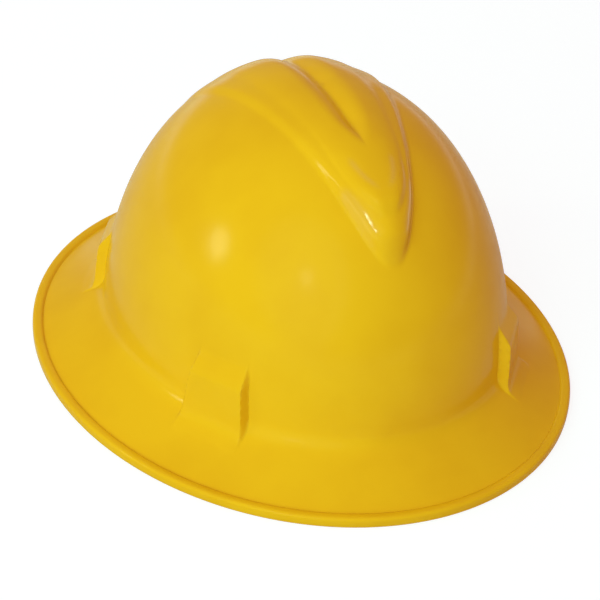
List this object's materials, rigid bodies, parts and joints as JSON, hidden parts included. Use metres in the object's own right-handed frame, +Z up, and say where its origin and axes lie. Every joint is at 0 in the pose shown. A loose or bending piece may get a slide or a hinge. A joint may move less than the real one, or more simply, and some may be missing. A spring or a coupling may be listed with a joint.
{
  "type": "mining helmet",
  "caption": "Full-brim work helmet: ribbed moulded crown with webbing suspension, height-adjustable headband and ratchet nape knob.",
  "frame": {"origin": "middle of the brim's outline, on the flat that the rim rests on", "axes": "+Z up through the crown; -Y is the wearer's front; +X is the wearer's left"},
  "size_m": [0.2796, 0.332, 0.1509],
  "materials": {
    "shell": "glossy injection-moulded yellow polyethylene",
    "key": "black moulded plastic, fine satin",
    "webbing": "woven dark grey polyester webbing",
    "band": "black flexible moulded plastic",
    "pad": "grey brushed foam-backed cloth",
    "metal": "zinc-plated steel",
    "ratchet": "black moulded plastic, fine spark texture"
  },
  "bodies": {
    "shell_unit": {"shell": "shell", "key_front_left": "key", "key_front_right": "key", "key_rear_left": "key", "key_rear_right": "key", "crown_strap_lower": "webbing", "crown_strap_upper": "webbing"},
    "headband_unit": {"headband": "band", "brow_pad": "pad", "hanger_front_left": "band", "hanger_front_right": "band", "side_strap_left": "band", "side_strap_right": "band", "nape_hanger_left": "band", "nape_hanger_right": "band", "hanger_rivets": "metal"},
    "ratchet_unit": {"ratchet_cover": "ratchet", "ratchet_back_plate": "ratchet", "plate_rivets": "metal", "nape_rivets": "metal", "detent_spring": "metal", "nape_pad": "pad"},
    "knob_unit": {"pinion": "ratchet", "ratchet_knob": "ratchet", "knob_screw": "metal"},
    "rack_left_unit": {"rack_left": "band"},
    "rack_right_unit": {"rack_right": "band"}
  },
  "joints": [
    {"name": "headband_height", "type": "slide", "parent": "shell_unit", "child": "headband_unit", "axis": [0, 0, 1], "range_m": [-0.006, 0.006]},
    {"name": "ratchet_slide", "type": "slide", "parent": "headband_unit", "child": "ratchet_unit", "axis": [0, -1, 0], "range_m": [-0.00637, 0.021], "deforming": ["side_strap_left", "side_strap_right", "nape_hanger_left", "nape_hanger_right"]},
    {"name": "knob_spin", "type": "hinge", "parent": "ratchet_unit", "child": "knob_unit", "pos_m": [0, 0.09703, 0.024], "axis": [0, -1, 0], "range_deg": [-58.67, 192.74]},
    {"name": "rack_left_turn", "type": "hinge", "parent": "ratchet_unit", "child": "rack_left_unit", "pos_m": [0, 0.01203, 0.024], "axis": [0, 0, 1], "range_deg": [-3.73, 12.25]},
    {"name": "rack_right_turn", "type": "hinge", "parent": "ratchet_unit", "child": "rack_right_unit", "pos_m": [0, 0.01203, 0.024], "axis": [0, 0, 1], "range_deg": [-11.98, 3.65]}
  ],
  "couplings": [
    {"joint": "knob_spin", "follows": "ratchet_slide", "rad_per_m": 160},
    {"joint": "rack_left_turn", "follows": "ratchet_slide", "rad_per_m": 10.169},
    {"joint": "rack_right_turn", "follows": "ratchet_slide", "rad_per_m": -9.9415}
  ]
}
